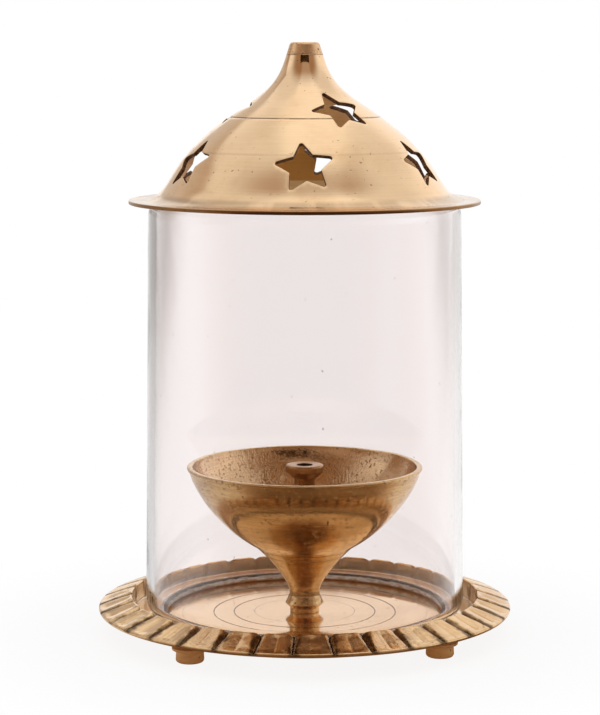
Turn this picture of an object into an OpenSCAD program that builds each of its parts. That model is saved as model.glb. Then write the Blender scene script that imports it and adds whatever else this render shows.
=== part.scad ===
// Akhand diya: a brass oil lamp on a fluted tray, under a glass chimney with a star-pierced lid.
// Millimetres, +Z up. The lamp stands on z = 0 and its axis is the Z axis. Its front faces -Y.
// Sizes grow outwards from the bowl: bowl, chimney, tray and lid follow each other by named gaps.

/* [Bowl] */
// Diameter over the rim of the bowl
bowl_d = 44.8; // [40:0.1:50]
// Height of the bowl with its stem
bowl_h = 28.4; // [25:0.1:34]
// Thickness of the bowl's wall at the rim
bowl_t = 1.1; // [0.8:0.1:1.6]
// Width of the rounded bead under the rim
rim_bead = 0.35; // [0.2:0.05:0.6]
// Diameter at the waist, where the bowl turns into its stem
waist_d = 19.4; // [16:0.1:22]
// Height of the waist above the tray
waist_h = 13; // [11.5:0.1:15]
// Slope of the bowl's outside at the waist
waist_slope = 29.5; // [24:0.5:36]
// Metal left between the waist and the bowl's inside
bowl_floor_t = 1.4; // [1:0.1:2]
// Diameter of the neck below the waist
neck_d = 5.8; // [5:0.1:7]
// Straight part of the neck above the stem's collar
neck_straight_h = 0.8; // [0.4:0.1:1.2]
// Diameter of the collar round the stem
stem_collar_d = 7.3; // [6.6:0.1:9]
// Height of the slope above the collar's edge
collar_top_h = 1.6; // [1:0.1:2]
// Height of the undercut below the collar's edge
collar_under_h = 0.9; // [0.6:0.1:1.2]
// Diameter of the ring that the stem stands on
stem_foot_d = 5.6; // [5:0.1:6.4]
// Height of that ring
stem_foot_h = 0.8; // [0.5:0.1:1.4]

/* [Wick holder] */
// Diameter of the hole for the wick
wick_hole_d = 2.95; // [2.4:0.05:3.4]
// Thickness of the holder's tube
holder_wall = 0.5; // [0.4:0.05:0.8]
// Diameter of the holder's head
head_d = 7.2; // [6.2:0.1:9]
// Height of the holder's head
head_h = 2.4; // [1.8:0.1:3.2]
// Diameter of the head at its underside
head_under_d = 5.1; // [4.8:0.1:6]
// Rise of the head above the bowl's rim
head_proud = 0.1; // [0:0.1:2]
// Diameter of the holder's base
holder_base_d = 7.2; // [6:0.1:9]
// Thickness of the holder's base
holder_base_t = 1; // [0.8:0.1:1.6]
// Diameter of the cross hole that lets oil in
oil_hole_d = 1.6; // [1.2:0.1:2.2]
// Diameter of the spigot under the base
spigot_d = 3.2; // [2.6:0.1:3.6]
// Length of the spigot
spigot_l = 3; // [2:0.1:3.6]

/* [Chimney] */
// Height of the glass
glass_h = 78.6; // [60:0.1:95]
// Thickness of the glass
glass_t = 1.5; // [1:0.1:1.8]
// Gap between the bowl's rim and the opening in the foot of the glass
bowl_gap = 3.8; // [2:0.1:6]
// Width of the flat ring that the glass stands on
glass_ring_w = 0.9; // [0.6:0.1:1.6]
// Rounding of the lower edge of the glass
heel_round = 3.2; // [2.4:0.1:4.5]
// Loss of radius from the foot of the glass to its shoulder
glass_taper = 0.9; // [0:0.1:1.5]
// Loss of radius from the shoulder of the glass to its mouth
mouth_draw = 0.35; // [0.1:0.05:0.6]
// Height of the drawn-in mouth
mouth_h = 3; // [2:0.1:5]
// Rounding of the edges of the mouth
mouth_round = 0.3; // [0.15:0.05:0.4]

/* [Tray] */
// Gap between the glass and the wall of the tray
chimney_gap = 2.7; // [1:0.1:5]
// Width of the fluted rim
rim_w = 6.35; // [5:0.05:9]
// Thickness of the tray's metal
plate_t = 0.8; // [0.6:0.1:1.2]
// Depth of the tray below the crest of its rim
tray_depth = 3.7; // [3.2:0.1:5]
// Fall of the rim from its crest to its edge
rim_fall = 2.1; // [1.2:0.1:2.4]
// Thickness of the rim at its edge
rim_edge_t = 0.8; // [0.6:0.05:1]
// Number of flutes
flute_count = 34; // [24:1:36]
// Depth of the grooves between the flutes at the crest
flute_depth = 0.6; // [0.3:0.05:0.8]
// Depth of the grooves at the rim's edge
flute_edge_depth = 0.45; // [0.2:0.05:0.6]
// Width of the grooves between the flutes
groove_w = 2.9; // [2:0.1:5.2]
// Turn of the first groove from the front
groove_turn = -2.9; // [-5:0.1:5]

/* [Feet] */
// Height of the feet below the tray
foot_h = 2.8; // [2.6:0.1:8]
// Diameter of a foot
foot_d = 5.2; // [4:0.1:6]
// Diameter of the collar at the top of a foot
foot_collar_d = 6.6; // [6.2:0.1:8]
// Thickness of that collar
foot_collar_t = 0.5; // [0.3:0.1:0.8]
// Rounding of a foot's lower edge
foot_round = 0.6; // [0.3:0.1:1]
// Distance from the wall of the tray in to the centre of a foot
foot_inset = 0.6; // [0:0.1:3]
// Turn of the first foot from the front
foot_turn = -40; // [-45:1:-5]

/* [Fixing screw] */
// Diameter of the screw that holds the bowl
screw_d = 3; // [2.5:0.1:3.4]
// Length of screw inside the stem
screw_grip = 6; // [4:0.1:7]
// Diameter of the screw's head
screw_head_d = 5.5; // [5:0.1:6]
// Height of the screw's head
screw_head_h = 1.4; // [1:0.1:1.6]
// Width of the slot in the screw's head
screw_slot_w = 0.8; // [0.6:0.1:1]
// Depth of the slot in the screw's head
screw_slot_h = 0.7; // [0.4:0.1:0.8]
// Diameter of the washer
washer_d = 7; // [6.6:0.1:9]
// Thickness of the washer
washer_t = 0.5; // [0.3:0.1:0.6]

/* [Lid] */
// Height of the lid from its flange to its tip
lid_h = 29.95; // [25:0.05:36]
// Thickness of the lid's sheet
lid_t = 0.8; // [0.6:0.1:1]
// Thickness of the flange
flange_t = 0.7; // [0.6:0.05:1]
// Rounding of the flange's edges
flange_round = 0.15; // [0.05:0.01:0.3]
// Reach of the flange beyond the mouth of the glass
flange_over = 3.95; // [3:0.05:6]
// Depth of the recess that the mouth of the glass sits in
seat_depth = 0.4; // [0.2:0.05:0.5]
// Gap round the mouth of the glass in its recess
seat_gap = 0.5; // [0.3:0.05:0.8]
// Fullness of the dome
dome_fullness = 0.78; // [0.7:0.01:0.84]
// Diameter at the shoulder, where the finial's flare turns into the dome
shoulder_d = 20.6; // [16:0.1:24]
// Drop of the shoulder below the tip
shoulder_drop = 11.2; // [9:0.1:13]
// Slope of the dome at the shoulder
shoulder_slope = 32.5; // [26:0.5:38]
// Diameter of the finial's flat tip
tip_d = 4.3; // [3.6:0.1:5]
// Rounding of the edge of the tip
tip_round = 0.7; // [0.3:0.05:1]
// Diameter of the finial below its cap
cap_d = 6.9; // [6.4:0.1:8]
// Height of the finial's cap
cap_h = 2.4; // [1.6:0.1:3]

/* [Stars] */
// Reach of a star from its centre to a tip
star_r = 5.4; // [4:0.1:6]
// Reach of a star from its centre to an inner corner
star_inner_r = 3; // [2.2:0.1:3.4]
// Rounding of a star's tips
star_round = 0.45; // [0.2:0.05:0.6]
// Place of the lower row along the dome, from shoulder 0 to flange 1
lower_star_at = 0.4; // [0.36:0.01:0.44]
// Place of the upper row along the dome, from shoulder 0 to flange 1
upper_star_at = 0.035; // [0.02:0.005:0.05]

/* [Hidden] */
$fn = 96;

// Clearances
spigot_gap = 0.06;
socket_spare = 0.3;
thread_gap = 0.05;
screw_hole_gap = 0.15;
thread_spare = 0.8;
through = 1;

// Handles of the curves: how far each end of a curve keeps its direction
rim_handle = [-1, -5];
waist_handle = 7.5;
under_handle = 1.5;
neck_handle = 2.1;
inside_handle = [-1.1, -4.8];
floor_handle = [7.2, 3.6];
cap_handle = [0.75, -2.2];
flare_handle = 6.5;
dome_handle = [-6.5, 1.5];

// Bowl and wick holder
bowl_r = bowl_d / 2;
neck_r = neck_d / 2;
waist = [waist_d / 2, waist_h];
waist_dir = [cos(waist_slope), sin(waist_slope)];
collar_h = stem_foot_h + collar_under_h;
neck_h = collar_h + collar_top_h;
bowl_floor_h = waist_h + bowl_floor_t;
bowl_floor_r = waist[0] - bowl_floor_t;
stem_r = wick_hole_d / 2 + holder_wall;
holder_h = bowl_h - bowl_floor_h + head_proud;
socket_r = spigot_d / 2 + spigot_gap;
socket_h = spigot_l + socket_spare;
thread_r = screw_d / 2 + thread_gap;

// Chimney
open_r = bowl_r + bowl_gap;
heel_r = open_r + glass_ring_w;
glass_r = heel_r + heel_round;
shoulder_glass_r = glass_r - glass_taper;
mouth_r = shoulder_glass_r - mouth_draw;

// Tray
tray_r = glass_r + chimney_gap;
plate_r = tray_r + rim_w;
floor_z = foot_h + plate_t;
crest_z = floor_z + tray_depth;
edge_z = crest_z - rim_fall;
rim_t = plate_t + flute_depth;
plate_round = plate_t;
wall_fillet = plate_t / 2;
crest_round = plate_t / 2;
rim_lean = 90 - atan(rim_fall / rim_w);

// Lid
lid_z = floor_z + glass_h - seat_depth;
flange_r = mouth_r + flange_over;
seat_r = mouth_r + seat_gap;
seat_in_r = mouth_r - glass_t - seat_gap;
tip_r = tip_d / 2;
cap_r = cap_d / 2;
shoulder = [shoulder_d / 2, lid_h - shoulder_drop];
dome_foot = [seat_r + seat_gap, flange_t];
dome_span = norm(dome_foot - shoulder);

// Turn of each star from the front, towards +X, and its lean: marked out by eye, so not quite even
lower_row = [[0, 7], [67, 6], [106, 4], [167, 6], [242, 5], [294, 6]];
upper_row = [[32, 9], [127, 5], [269, 6]];

// A point, a direction and an offset row of points on a cubic Bezier curve p
function bezier(p, t) =
    pow(1 - t, 3) * p[0] + 3 * pow(1 - t, 2) * t * p[1] + 3 * (1 - t) * t * t * p[2] + pow(t, 3) * p[3];
function bezier_way(p, t) =
    pow(1 - t, 2) * (p[1] - p[0]) + 2 * (1 - t) * t * (p[2] - p[1]) + t * t * (p[3] - p[2]);
function bezier_normal(p, t) =
    let (way = bezier_way(p, t)) [way[1], -way[0]] / norm(way);
function curve(p, steps, inset = 0, from = 0, to = 1) =
    [for (i = [0 : steps])
        let (t = from + (to - from) * i / steps) bezier(p, t) + inset * bezier_normal(p, t)];
function arc(centre, r, from, to, steps) =
    [for (i = [0 : steps]) let (a = from + (to - from) * i / steps) centre + r * [cos(a), sin(a)]];
function backwards(list) = [for (i = [len(list) - 1 : -1 : 0]) list[i]];

// Outside of the bowl from rim to waist and from waist to neck, and its inside from rim to floor
bowl_side = [[bowl_r - rim_bead, bowl_h - 2 * rim_bead], [bowl_r - rim_bead, bowl_h] + rim_handle,
             waist + waist_handle * waist_dir, waist];
bowl_waist = [waist, waist - under_handle * waist_dir, [neck_r, neck_h + neck_straight_h + neck_handle],
              [neck_r, neck_h + neck_straight_h]];
bowl_inside = [[bowl_r - bowl_t, bowl_h - rim_bead], [bowl_r - bowl_t, bowl_h] + inside_handle,
               [bowl_floor_r, bowl_floor_h] + floor_handle, [bowl_floor_r, bowl_floor_h]];

// Outside of the lid: the finial's flare from cap to shoulder, and the dome from shoulder to flange
shoulder_dir = [cos(shoulder_slope), -sin(shoulder_slope)];
flare = [[cap_r, lid_h - cap_h], [cap_r, lid_h - cap_h] + cap_handle,
         shoulder - flare_handle * shoulder_dir, shoulder];
dome = [shoulder, shoulder + dome_fullness * dome_span * shoulder_dir, dome_foot + dome_handle, dome_foot];

// Shares of the curves that the inside of the lid leaves out, at the shoulder and at the seat
shoulder_skip = 0.05;
dome_inside_end = 0.8;

// Turned bowl on its stem, with a socket for the wick holder and a tapped hole for the screw
module diya_bowl() {
    bead = [bowl_r - rim_bead, bowl_h - rim_bead];
    profile = concat(
        [[thread_r, 0], [stem_foot_d / 2, 0], [stem_foot_d / 2, stem_foot_h],
         [stem_collar_d / 2, collar_h], [neck_r, neck_h]],
        backwards(curve(bowl_waist, 8)), backwards(curve(bowl_side, 14)),
        arc(bead, rim_bead, -60, 90, 5), [[bowl_r - bowl_t + rim_bead, bowl_h]],
        curve(bowl_inside, 14),
        [[socket_r, bowl_floor_h], [socket_r, bowl_floor_h - socket_h], [0, bowl_floor_h - socket_h],
         [0, screw_grip + thread_spare], [thread_r, screw_grip + thread_spare]]);
    color("#c08a4a")
        translate([0, 0, floor_z])
            rotate_extrude() polygon(profile);
}

// Mushroom-headed tube that holds the wick upright, with a cross hole for the oil
module wick_holder() {
    head_z = holder_h - head_h;
    head_r = head_d / 2;
    head_round = head_h / 6;
    profile = concat(
        [[0, -spigot_l], [spigot_d / 2, -spigot_l], [spigot_d / 2, 0], [holder_base_d / 2, 0],
         [holder_base_d / 2, holder_base_t / 2], [stem_r, holder_base_t], [stem_r, head_z],
         [head_under_d / 2, head_z], [head_r, head_z + head_h / 2]],
        arc([head_r - head_round, holder_h - head_round], head_round, 0, 90, 4),
        [[wick_hole_d / 2, holder_h], [wick_hole_d / 2, holder_base_t], [0, holder_base_t]]);
    color("#b07c40")
        translate([0, 0, floor_z + bowl_floor_h])
            difference() {
                rotate_extrude() polygon(profile);
                rotate([90, 0, 90])
                    translate([0, holder_base_t + oil_hole_d, 0])
                        cylinder(d = oil_hole_d, h = 2 * stem_r + 2 * through, center = true);
            }
}

// Slotted pan-head screw, up through the tray into the stem
module fixing_screw() {
    head_z = foot_h - washer_t - screw_head_h;
    shank_l = washer_t + plate_t + screw_grip;
    color("#b9bcc0")
        difference() {
            union() {
                translate([0, 0, head_z]) cylinder(d = screw_head_d, h = screw_head_h);
                translate([0, 0, head_z]) cylinder(d = screw_d, h = screw_head_h + shank_l);
            }
            translate([-screw_head_d, -screw_slot_w / 2, head_z - through])
                cube([2 * screw_head_d, screw_slot_w, screw_slot_h + through]);
        }
}

module screw_washer() {
    color("#c4c6c8")
        translate([0, 0, foot_h - washer_t])
            difference() {
                cylinder(d = washer_d, h = washer_t);
                translate([0, 0, -through])
                    cylinder(r = screw_d / 2 + screw_hole_gap, h = washer_t + 2 * through);
            }
}

// Shallow tray with a drooping rim, fluted by grooves cut across it
module base_plate() {
    hole_r = screw_d / 2 + screw_hole_gap;
    wall_r = tray_r + plate_t;
    edge_round = rim_edge_t / 2;
    profile = concat(
        [[hole_r, foot_h]],
        arc([wall_r - plate_round, foot_h + plate_round], plate_round, -90, 0, 5),
        [[wall_r, crest_z - rim_t]],
        arc([plate_r - edge_round, edge_z - edge_round], edge_round, -90, rim_lean, 6),
        arc([tray_r + crest_round, crest_z - crest_round], crest_round, rim_lean, 180, 5),
        arc([tray_r - wall_fillet, floor_z + wall_fillet], wall_fillet, 0, -90, 4),
        [[hole_r, floor_z]]);
    color("#cfa267")
        difference() {
            rotate_extrude() polygon(profile);
            for (i = [0 : flute_count - 1])
                rotate([0, 0, groove_turn - 90 + 360 * i / flute_count]) groove_cutter();
        }
}

// Cutter for one groove: two rounded shoulders meet in a sharp valley
module groove_cutter() {
    half_w = groove_w / 2;
    lift = 0.05;
    clear_h = 3;
    reach = 1.5;
    steps = 5;
    fall = atan((rim_fall - flute_depth + flute_edge_depth) / rim_w);
    valley = [for (i = [-steps : steps])
        let (s = i / steps) [half_w * s, lift - (flute_depth + lift) * pow(1 - abs(s), 2)]];
    translate([tray_r, 0, crest_z])
        rotate([0, fall, 0])
            translate([-reach, 0, 0])
                rotate([90, 0, 90])
                    linear_extrude(height = rim_w + 2 * reach)
                        polygon(concat(valley, [[half_w, clear_h], [-half_w, clear_h]]));
}

// One foot: a stud with a collar, brazed under the tray; place 0 is the first from the front
module foot(place) {
    r = foot_d / 2;
    profile = concat(
        [[0, 0]],
        arc([r - foot_round, foot_round], foot_round, -90, 0, 4),
        [[r, foot_h - foot_collar_t], [foot_collar_d / 2, foot_h - foot_collar_t],
         [foot_collar_d / 2, foot_h], [0, foot_h]]);
    color("#b5803f")
        rotate([0, 0, foot_turn - 90 + 90 * place])
            translate([tray_r - foot_inset, 0, 0])
                rotate_extrude() polygon(profile);
}

// Blown glass tube with its foot turned in and its mouth drawn in a little
module glass_chimney() {
    mouth_z = glass_h - mouth_h;
    mouth_in_r = mouth_r - glass_t;
    shoulder_in_r = shoulder_glass_r - glass_t;
    profile = concat(
        [[open_r, 0]],
        arc([heel_r, heel_round], heel_round, -90, 0, 8),
        curve([[shoulder_glass_r, mouth_z], [shoulder_glass_r, mouth_z + mouth_h / 2],
               [mouth_r, glass_h - mouth_h / 2], [mouth_r, glass_h - mouth_round]], 5),
        arc([mouth_r - mouth_round, glass_h - mouth_round], mouth_round, 15, 90, 3),
        arc([mouth_in_r + mouth_round, glass_h - mouth_round], mouth_round, 90, 165, 3),
        curve([[mouth_in_r, glass_h - mouth_round], [mouth_in_r, glass_h - mouth_h / 2],
               [shoulder_in_r, mouth_z + mouth_h / 2], [shoulder_in_r, mouth_z]], 5),
        arc([heel_r, heel_round], heel_round - glass_t, 0, -90, 6),
        [[open_r, glass_t]]);
    color("#e8eef0", 0.35)
        translate([0, 0, floor_z])
            rotate_extrude() polygon(profile);
}

// Spun dome with a flat flange, a recess for the mouth of the glass and a closed finial
module lid() {
    edge_r = flange_r - flange_round;
    profile = concat(
        [[0, lid_h]],
        arc([tip_r, lid_h - tip_round], tip_round, 90, 20, 5),
        curve(flare, 10), curve(dome, 18),
        arc([edge_r, flange_t - flange_round], flange_round, 90, 0, 3),
        arc([edge_r, flange_round], flange_round, 0, -90, 3),
        [[seat_r, 0], [seat_r, seat_depth], [seat_in_r, seat_depth]],
        backwards(curve(dome, 14, lid_t, shoulder_skip, dome_inside_end)),
        backwards(curve(flare, 8, lid_t, 0, 1 - shoulder_skip)),
        [[0, lid_h - cap_h]]);
    color("#d8b27c")
        translate([0, 0, lid_z])
            difference() {
                rotate_extrude() polygon(profile);
                star_row(lower_row, lower_star_at);
                star_row(upper_row, upper_star_at);
            }
}

// A ring of star cutters, each square to the dome
module star_row(row, at) {
    place = bezier(dome, at);
    way = bezier_way(dome, at);
    slope = atan2(-way[1], way[0]);
    for (star = row)
        rotate([0, 0, star[0] - 90])
            translate([place[0], 0, place[1]])
                rotate([0, slope, 0])
                    rotate([0, 0, 180 + star[1]])
                        linear_extrude(height = star_r, center = true) star();
}

// Five-pointed star with round tips, one tip towards +X
module star() {
    tip_half = 90 - atan2(star_inner_r * sin(36), star_r - star_inner_r * cos(36));
    polygon([for (k = [0 : 4]) let (a = 72 * k)
        each concat(
            arc((star_r - star_round) * [cos(a), sin(a)], star_round, a - tip_half, a + tip_half, 4),
            [star_inner_r * [cos(a + 36), sin(a + 36)]])]);
}

base_plate();
foot(0);  // front_left_foot
foot(1);  // front_right_foot
foot(2);  // rear_right_foot
foot(3);  // rear_left_foot
diya_bowl();
wick_holder();
fixing_screw();
screw_washer();
glass_chimney();
lid();
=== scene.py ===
"""Looks of an akhand diya: a brass oil lamp under a glass chimney with a star-pierced lid.

Lengths are in millimetres until a mesh is made, and in metres after that and in the materials, unless a
comment says otherwise. The lamp's axis is Z and its front is -Y.
"""

import math

import bmesh
import bpy
import numpy as np
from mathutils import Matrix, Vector
from mathutils.geometry import delaunay_2d_cdt


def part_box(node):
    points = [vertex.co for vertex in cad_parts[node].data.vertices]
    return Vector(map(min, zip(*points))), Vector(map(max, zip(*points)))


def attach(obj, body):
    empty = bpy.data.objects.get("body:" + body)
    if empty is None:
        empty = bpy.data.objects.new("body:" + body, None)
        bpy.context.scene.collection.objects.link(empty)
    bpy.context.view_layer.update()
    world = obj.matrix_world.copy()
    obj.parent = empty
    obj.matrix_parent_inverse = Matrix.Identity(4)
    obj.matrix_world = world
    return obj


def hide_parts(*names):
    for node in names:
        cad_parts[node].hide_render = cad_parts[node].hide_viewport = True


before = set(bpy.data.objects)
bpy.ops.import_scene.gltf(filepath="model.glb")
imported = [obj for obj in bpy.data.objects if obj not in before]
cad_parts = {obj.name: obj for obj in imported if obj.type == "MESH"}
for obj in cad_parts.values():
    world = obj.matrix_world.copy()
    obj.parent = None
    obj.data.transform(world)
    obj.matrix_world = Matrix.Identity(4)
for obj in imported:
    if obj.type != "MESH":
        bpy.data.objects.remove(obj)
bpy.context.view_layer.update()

MM = 0.001
TURNS = 256


def corners(node):
    """Lowest and highest corner of a CAD node, in millimetres."""
    low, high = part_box(node)
    return np.array(low) / MM, np.array(high) / MM


plate_low, plate_high = corners("base_plate")
bowl_low, bowl_high = corners("diya_bowl")
holder_low, holder_high = corners("wick_holder")
glass_low, glass_high = corners("glass_chimney")
lid_low, lid_high = corners("lid")
screw_low, screw_high = corners("fixing_screw")
washer_low, washer_high = corners("screw_washer")

# Sizes that the materials and the meshes share, or two pieces

flute_count = 34
first_groove = math.radians(-92.9)
screw_hole_r = 1.65
ring_marks = (13.5, 17.4)
bowl_marks = (14.8, 15.95)
lid_line_z = 97.95
flange_t = 0.7

# Curves


def bezier(p, steps):
    """Points on a cubic Bezier curve."""
    t = np.linspace(0, 1, steps + 1)[:, None]
    p = np.asarray(p, float)
    return (1 - t) ** 3 * p[0] + 3 * (1 - t) ** 2 * t * p[1] + 3 * (1 - t) * t**2 * p[2] + t**3 * p[3]


def arc(centre, r, start, end, steps):
    """Points on an arc, its angles in degrees."""
    a = np.radians(np.linspace(start, end, steps + 1))[:, None]
    return np.asarray(centre, float) + r * np.hstack([np.cos(a), np.sin(a)])


def straight(a, b, steps):
    """Points on a straight line."""
    t = np.linspace(0, 1, steps + 1)[:, None]
    return (1 - t) * np.asarray(a, float) + t * np.asarray(b, float)


def joined(*runs):
    """One row of points from several, without the doubled ends."""
    rows = np.vstack([np.atleast_2d(np.asarray(run, float)) for run in runs])
    keep = np.ones(len(rows), bool)
    keep[1:] = np.linalg.norm(np.diff(rows, axis=0), axis=1) > 1e-5
    return rows[keep]


def scribed(profile, axis, places, width, depth, inward):
    """The profile with a fine V groove where its r (axis 0) or z (axis 1) passes each place."""
    for place in places:
        side = profile[:, axis] - place
        at = np.nonzero(side[:-1] * side[1:] <= 0)[0]
        if not len(at):
            continue
        i = at[0]
        way = (profile[i + 1] - profile[i]) / np.linalg.norm(profile[i + 1] - profile[i])
        share = side[i] / (side[i] - side[i + 1])
        centre = profile[i] + share * (profile[i + 1] - profile[i])
        half = width / 2 * way
        groove = np.array([centre - half, centre + depth * np.asarray(inward), centre + half])
        near = np.linalg.norm(profile - centre, axis=1) < width * 0.75
        index = np.arange(len(profile))
        profile = np.vstack([profile[(index <= i) & ~near], groove, profile[(index > i) & ~near]])
    return profile


# Meshes


class Build:
    """The points and faces of one piece, in millimetres, with the number of each face's material."""

    def __init__(self):
        self.points = []
        self.faces = []
        self.kinds = []

    def add(self, points, faces, kind=0):
        start = len(self.points)
        self.points.extend(np.asarray(points, float).tolist())
        self.faces.extend([[start + i for i in face] for face in faces])
        self.kinds.extend([kind] * len(faces))
        return start

    def lathe(self, profile, closed=False, kind=0, turns=TURNS, shape=None, start=0.0):
        """Turns a row of (r, z) points about the axis. shape may move the points of the whole surface."""
        profile = np.asarray(profile, float)
        angle = start + np.arange(turns) * 2 * math.pi / turns
        r = np.repeat(profile[:, :1], turns, 1)
        z = np.repeat(profile[:, 1:], turns, 1)
        a = np.repeat(angle[None], len(profile), 0)
        if shape is not None:
            r, z = shape(r, z, a)
        points = np.stack([r * np.cos(a), r * np.sin(a), z], -1).reshape(-1, 3)
        rows = len(profile)
        last = rows if closed else rows - 1
        faces = []
        for i in range(last):
            j = (i + 1) % rows
            for k in range(turns):
                m = (k + 1) % turns
                faces.append([i * turns + k, i * turns + m, j * turns + m, j * turns + k])
        self.add(points, faces, kind)


def carve(mesh, cutter):
    """A mesh with a closed cutter taken away from it."""
    data = bpy.data.meshes.new("cutter")
    data.from_pydata((np.array(cutter.points) * MM).tolist(), [], cutter.faces)
    pair = [bpy.data.objects.new("carved", mesh), bpy.data.objects.new("cutter", data)]
    for thing in pair:
        bpy.context.scene.collection.objects.link(thing)
    cut = pair[0].modifiers.new("cut", "BOOLEAN")
    cut.operation = "DIFFERENCE"
    cut.solver = "EXACT"
    cut.object = pair[1]
    bpy.context.view_layer.update()
    done = bpy.data.meshes.new_from_object(pair[0].evaluated_get(bpy.context.evaluated_depsgraph_get()))
    for thing in pair:
        bpy.data.objects.remove(thing)
    return done


def make_piece(build, name, body, node, materials, crease=32.0, cutter=None):
    """A closed, smooth-shaded mesh that stands for a CAD node and rides on its body."""
    mesh = bpy.data.meshes.new(name)
    mesh.from_pydata((np.array(build.points) * MM).tolist(), [], build.faces)
    for material in materials:
        mesh.materials.append(material)
    mesh.polygons.foreach_set("material_index", build.kinds)
    work = bmesh.new()
    work.from_mesh(mesh)
    bmesh.ops.remove_doubles(work, verts=work.verts, dist=1e-7)
    bmesh.ops.dissolve_degenerate(work, edges=work.edges, dist=1e-8)
    bmesh.ops.recalc_face_normals(work, faces=work.faces)
    for face in work.faces:
        face.smooth = True
    work.to_mesh(mesh)
    work.free()
    if cutter:
        mesh = carve(mesh, cutter)
        mesh.name = name
    mesh.set_sharp_from_angle(angle=math.radians(crease))
    piece = bpy.data.objects.new(name, mesh)
    bpy.context.scene.collection.objects.link(piece)
    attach(piece, body)
    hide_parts(node)


# Materials


class Nodes:
    """Short ways to add and join the nodes of a tree."""

    def __init__(self, tree):
        self.tree = tree

    def add(self, kind, values=None, **settings):
        node = self.tree.nodes.new(kind)
        for key, value in settings.items():
            setattr(node, key, value)
        for key, value in (values or {}).items():
            self.set(node.inputs[key], value)
        return node

    def set(self, socket, value):
        if isinstance(value, bpy.types.NodeSocket):
            self.tree.links.new(value, socket)
        else:
            socket.default_value = value

    def math(self, operation, a, b=0.0, clamp=False):
        return self.add("ShaderNodeMath", {0: a, 1: b}, operation=operation, use_clamp=clamp).outputs[0]

    def product(self, first, *rest):
        for value in rest:
            first = self.math("MULTIPLY", first, value)
        return first

    def rest_of(self, share):
        return self.math("SUBTRACT", 1.0, share)

    def noise(self, vector, scale, detail=3.0, roughness=0.55):
        values = {"Vector": vector, "Scale": scale, "Detail": detail, "Roughness": roughness}
        return self.add("ShaderNodeTexNoise", values).outputs["Fac"]

    def between(self, value, low, high, out_low=0.0, out_high=1.0):
        values = {"Value": value, "From Min": low, "From Max": high, "To Min": out_low, "To Max": out_high}
        return self.add("ShaderNodeMapRange", values, interpolation_type="SMOOTHSTEP").outputs["Result"]

    def mix(self, share, a, b):
        return self.add("ShaderNodeMix", {0: share, 6: a, 7: b}, data_type="RGBA").outputs[2]


class Shader(Nodes):
    """A node material in the lamp's own coordinates: radius is the distance from its axis, height that from
    its base, and way the direction out from the axis."""

    def __init__(self, name):
        self.material = bpy.data.materials.new(name)
        self.material.use_nodes = True
        super().__init__(self.material.node_tree)
        self.bsdf = self.tree.nodes["Principled BSDF"]
        self.place = self.add("ShaderNodeTexCoord").outputs["Object"]
        x, y, self.height = self.add("ShaderNodeSeparateXYZ", {0: self.place}).outputs
        flat = self.add("ShaderNodeCombineXYZ", {0: x, 1: y, 2: 0.0}).outputs[0]
        self.radius = self.add("ShaderNodeVectorMath", {0: flat}, operation="LENGTH").outputs["Value"]
        self.way = self.add("ShaderNodeVectorMath", {0: flat}, operation="NORMALIZE").outputs[0]

    def drive(self, socket, value):
        self.set(self.bsdf.inputs[socket], value)

    def bump(self, height, distance, strength=1.0, normal=None, invert=False):
        values = {"Height": height, "Strength": strength, "Distance": distance}
        if normal is not None:
            values["Normal"] = normal
        return self.add("ShaderNodeBump", values, invert=invert).outputs[0]

    def turned(self, lean, pitch, around=1.2):
        """Coordinates that run round the axis: pitch is the spacing of the turning marks, lean says how they
        follow the radius as well as the height, and around is how fast they change along their length."""
        slow = self.add("ShaderNodeVectorMath", {0: self.way, 3: around}, operation="SCALE").outputs[0]
        along = self.math("ADD", self.height, self.math("MULTIPLY", self.radius, lean))
        turn = self.math("DIVIDE", along, pitch)
        rise = self.add("ShaderNodeCombineXYZ", {0: 0.0, 1: 0.0, 2: turn}).outputs[0]
        return self.add("ShaderNodeVectorMath", {0: slow, 1: rise}, operation="ADD").outputs[0]

    def mark(self, along, place, half_width):
        """1 on a thin line where radius or height is at a place in millimetres, fainter here and there."""
        off = self.math("ABSOLUTE", self.math("SUBTRACT", along, place * MM))
        line = self.between(off, 0.45 * half_width * MM, half_width * MM, 1.0, 0.0)
        return self.math("MULTIPLY", line, self.between(self.noise(self.way, 6.0, 2.0), 0.3, 0.5, 0.45, 1.0))


def rgb(r, g, b):
    """A linear colour from an 8-bit screen colour."""
    def linear(c):
        c = c / 255
        return c / 12.92 if c <= 0.04045 else ((c + 0.055) / 1.055) ** 2.4
    return (linear(r), linear(g), linear(b), 1.0)


def darker(colour, share):
    """A share of a colour's light."""
    return tuple(share * c for c in colour[:3]) + (1.0,)


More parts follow.
